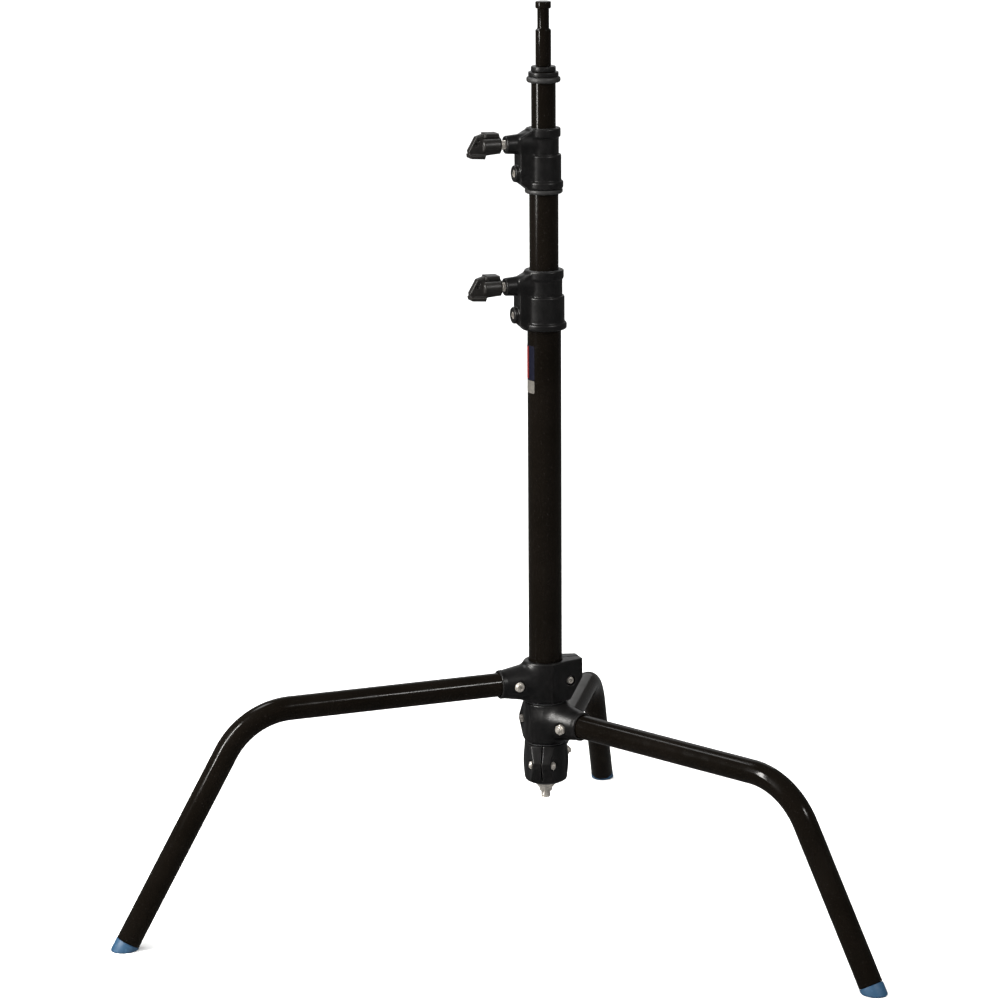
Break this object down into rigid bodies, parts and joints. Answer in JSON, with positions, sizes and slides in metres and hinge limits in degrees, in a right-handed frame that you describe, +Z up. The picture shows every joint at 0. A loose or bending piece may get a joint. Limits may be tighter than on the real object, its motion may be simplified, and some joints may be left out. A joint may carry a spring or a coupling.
{
  "type": "c stand",
  "caption": "Folding-leg grip stand: three staggered bent tube legs on pivoting hubs, a column with telescoping risers locked by wing knobs, and a grooved spigot on top.",
  "frame": {"origin": "centre of the flat lower end of the threaded stud under the base, on the column's axis; the floor is 109.5 mm below it", "axes": "+Z up along the column towards the spigot; seen from above, the upper leg points at 201.2 degrees, the middle leg at -42.5 degrees and the lower leg at 80.8 degrees from +X; the wing knobs point the same way as the upper leg"},
  "size_m": [0.7857, 0.7336, 0.9512],
  "materials": {
    "gloss_black_tube": "gloss black powder coat",
    "satin_black_casting": "satin black painted casting",
    "dark_grey_knob": "moulded dark grey",
    "zinc_plate": "bright zinc plate",
    "blue_foot": "matt blue moulded plug",
    "black_rubber": "matt black rubber",
    "black_nylon": "moulded black nylon"
  },
  "bodies": {
    "stand_base": {"column_tube": "gloss_black_tube", "column_end_plug": "zinc_plate", "base_stud": "zinc_plate", "base_cone_nut": "zinc_plate", "hub_washer_1": "black_nylon", "hub_washer_2": "black_nylon", "upper_leg_hub": "satin_black_casting", "upper_leg_tube": "gloss_black_tube", "upper_leg_foot": "blue_foot", "upper_leg_bolt": "zinc_plate", "upper_leg_nut": "zinc_plate", "upper_pinch_screw": "zinc_plate", "upper_pinch_nut": "zinc_plate", "lower_clamp_body": "satin_black_casting", "lower_clamp_bush": "black_nylon", "lower_set_screw": "zinc_plate"},
    "middle_leg": {"middle_leg_hub": "satin_black_casting", "middle_leg_tube": "gloss_black_tube", "middle_leg_foot": "blue_foot", "middle_leg_bolt": "zinc_plate", "middle_leg_nut": "zinc_plate", "middle_pinch_screw": "zinc_plate", "middle_pinch_nut": "zinc_plate"},
    "lower_leg": {"lower_leg_hub": "satin_black_casting", "lower_leg_tube": "gloss_black_tube", "lower_leg_foot": "blue_foot", "lower_leg_bolt": "zinc_plate", "lower_leg_nut": "zinc_plate", "lower_pinch_screw": "zinc_plate", "lower_pinch_nut": "zinc_plate"},
    "lower_brake": {"lower_brake_shoe": "black_nylon"},
    "lower_wing_knob": {"lower_knob": "dark_grey_knob", "lower_knob_screw": "zinc_plate"},
    "middle_riser_slide": {"middle_riser_guide": "black_nylon"},
    "middle_riser": {"middle_riser_tube": "gloss_black_tube", "middle_riser_bumper": "black_rubber", "upper_clamp_body": "satin_black_casting", "upper_clamp_bush": "black_nylon", "upper_set_screw": "zinc_plate"},
    "upper_brake": {"upper_brake_shoe": "black_nylon"},
    "upper_wing_knob": {"upper_knob": "dark_grey_knob", "upper_knob_screw": "zinc_plate"},
    "top_riser_slide": {"top_riser_guide": "black_nylon"},
    "top_riser": {"top_riser_tube": "gloss_black_tube", "top_riser_bumper": "black_rubber", "top_riser_stop_ring": "satin_black_casting", "top_riser_cap": "satin_black_casting", "spigot": "gloss_black_tube"}
  },
  "joints": [
    {"name": "middle_leg_swing", "type": "hinge", "parent": "stand_base", "child": "middle_leg", "pos_m": [0, 0, 0.08475], "axis": [0, 0, 1], "range_deg": [-111, 0]},
    {"name": "lower_leg_swing", "type": "hinge", "parent": "stand_base", "child": "lower_leg", "pos_m": [0, 0, 0.0395], "axis": [0, 0, 1], "range_deg": [0, 115]},
    {"name": "lower_brake_slide", "type": "slide", "parent": "stand_base", "child": "lower_brake", "axis": [-0.9323, -0.3616, 0], "range_m": [0, 0.00225]},
    {"name": "lower_knob_turn", "type": "hinge", "parent": "lower_brake", "child": "lower_wing_knob", "pos_m": [0, 0, 0.5517], "axis": [-0.9323, -0.3616, 0], "range_deg": [0, 541]},
    {"name": "middle_riser_lift", "type": "slide", "parent": "stand_base", "child": "middle_riser_slide", "axis": [0, 0, 1], "range_m": [0, 0.45]},
    {"name": "middle_riser_swivel", "type": "hinge", "parent": "middle_riser_slide", "child": "middle_riser", "pos_m": [0, 0, 0.4905], "axis": [0, 0, 1], "continuous": true},
    {"name": "upper_brake_slide", "type": "slide", "parent": "middle_riser", "child": "upper_brake", "axis": [-0.9323, -0.3616, 0], "range_m": [0, 0.00225]},
    {"name": "upper_knob_turn", "type": "hinge", "parent": "upper_brake", "child": "upper_wing_knob", "pos_m": [0, 0, 0.698], "axis": [-0.9323, -0.3616, 0], "range_deg": [0, 541]},
    {"name": "top_riser_lift", "type": "slide", "parent": "middle_riser", "child": "top_riser_slide", "axis": [0, 0, 1], "range_m": [0, 0.45]},
    {"name": "top_riser_swivel", "type": "hinge", "parent": "top_riser_slide", "child": "top_riser", "pos_m": [0, 0, 0.6905], "axis": [0, 0, 1], "continuous": true}
  ],
  "couplings": [
    {"joint": "lower_knob_turn", "follows": "lower_brake_slide", "rad_per_m": 4188.8},
    {"joint": "upper_knob_turn", "follows": "upper_brake_slide", "rad_per_m": 4188.8}
  ]
}
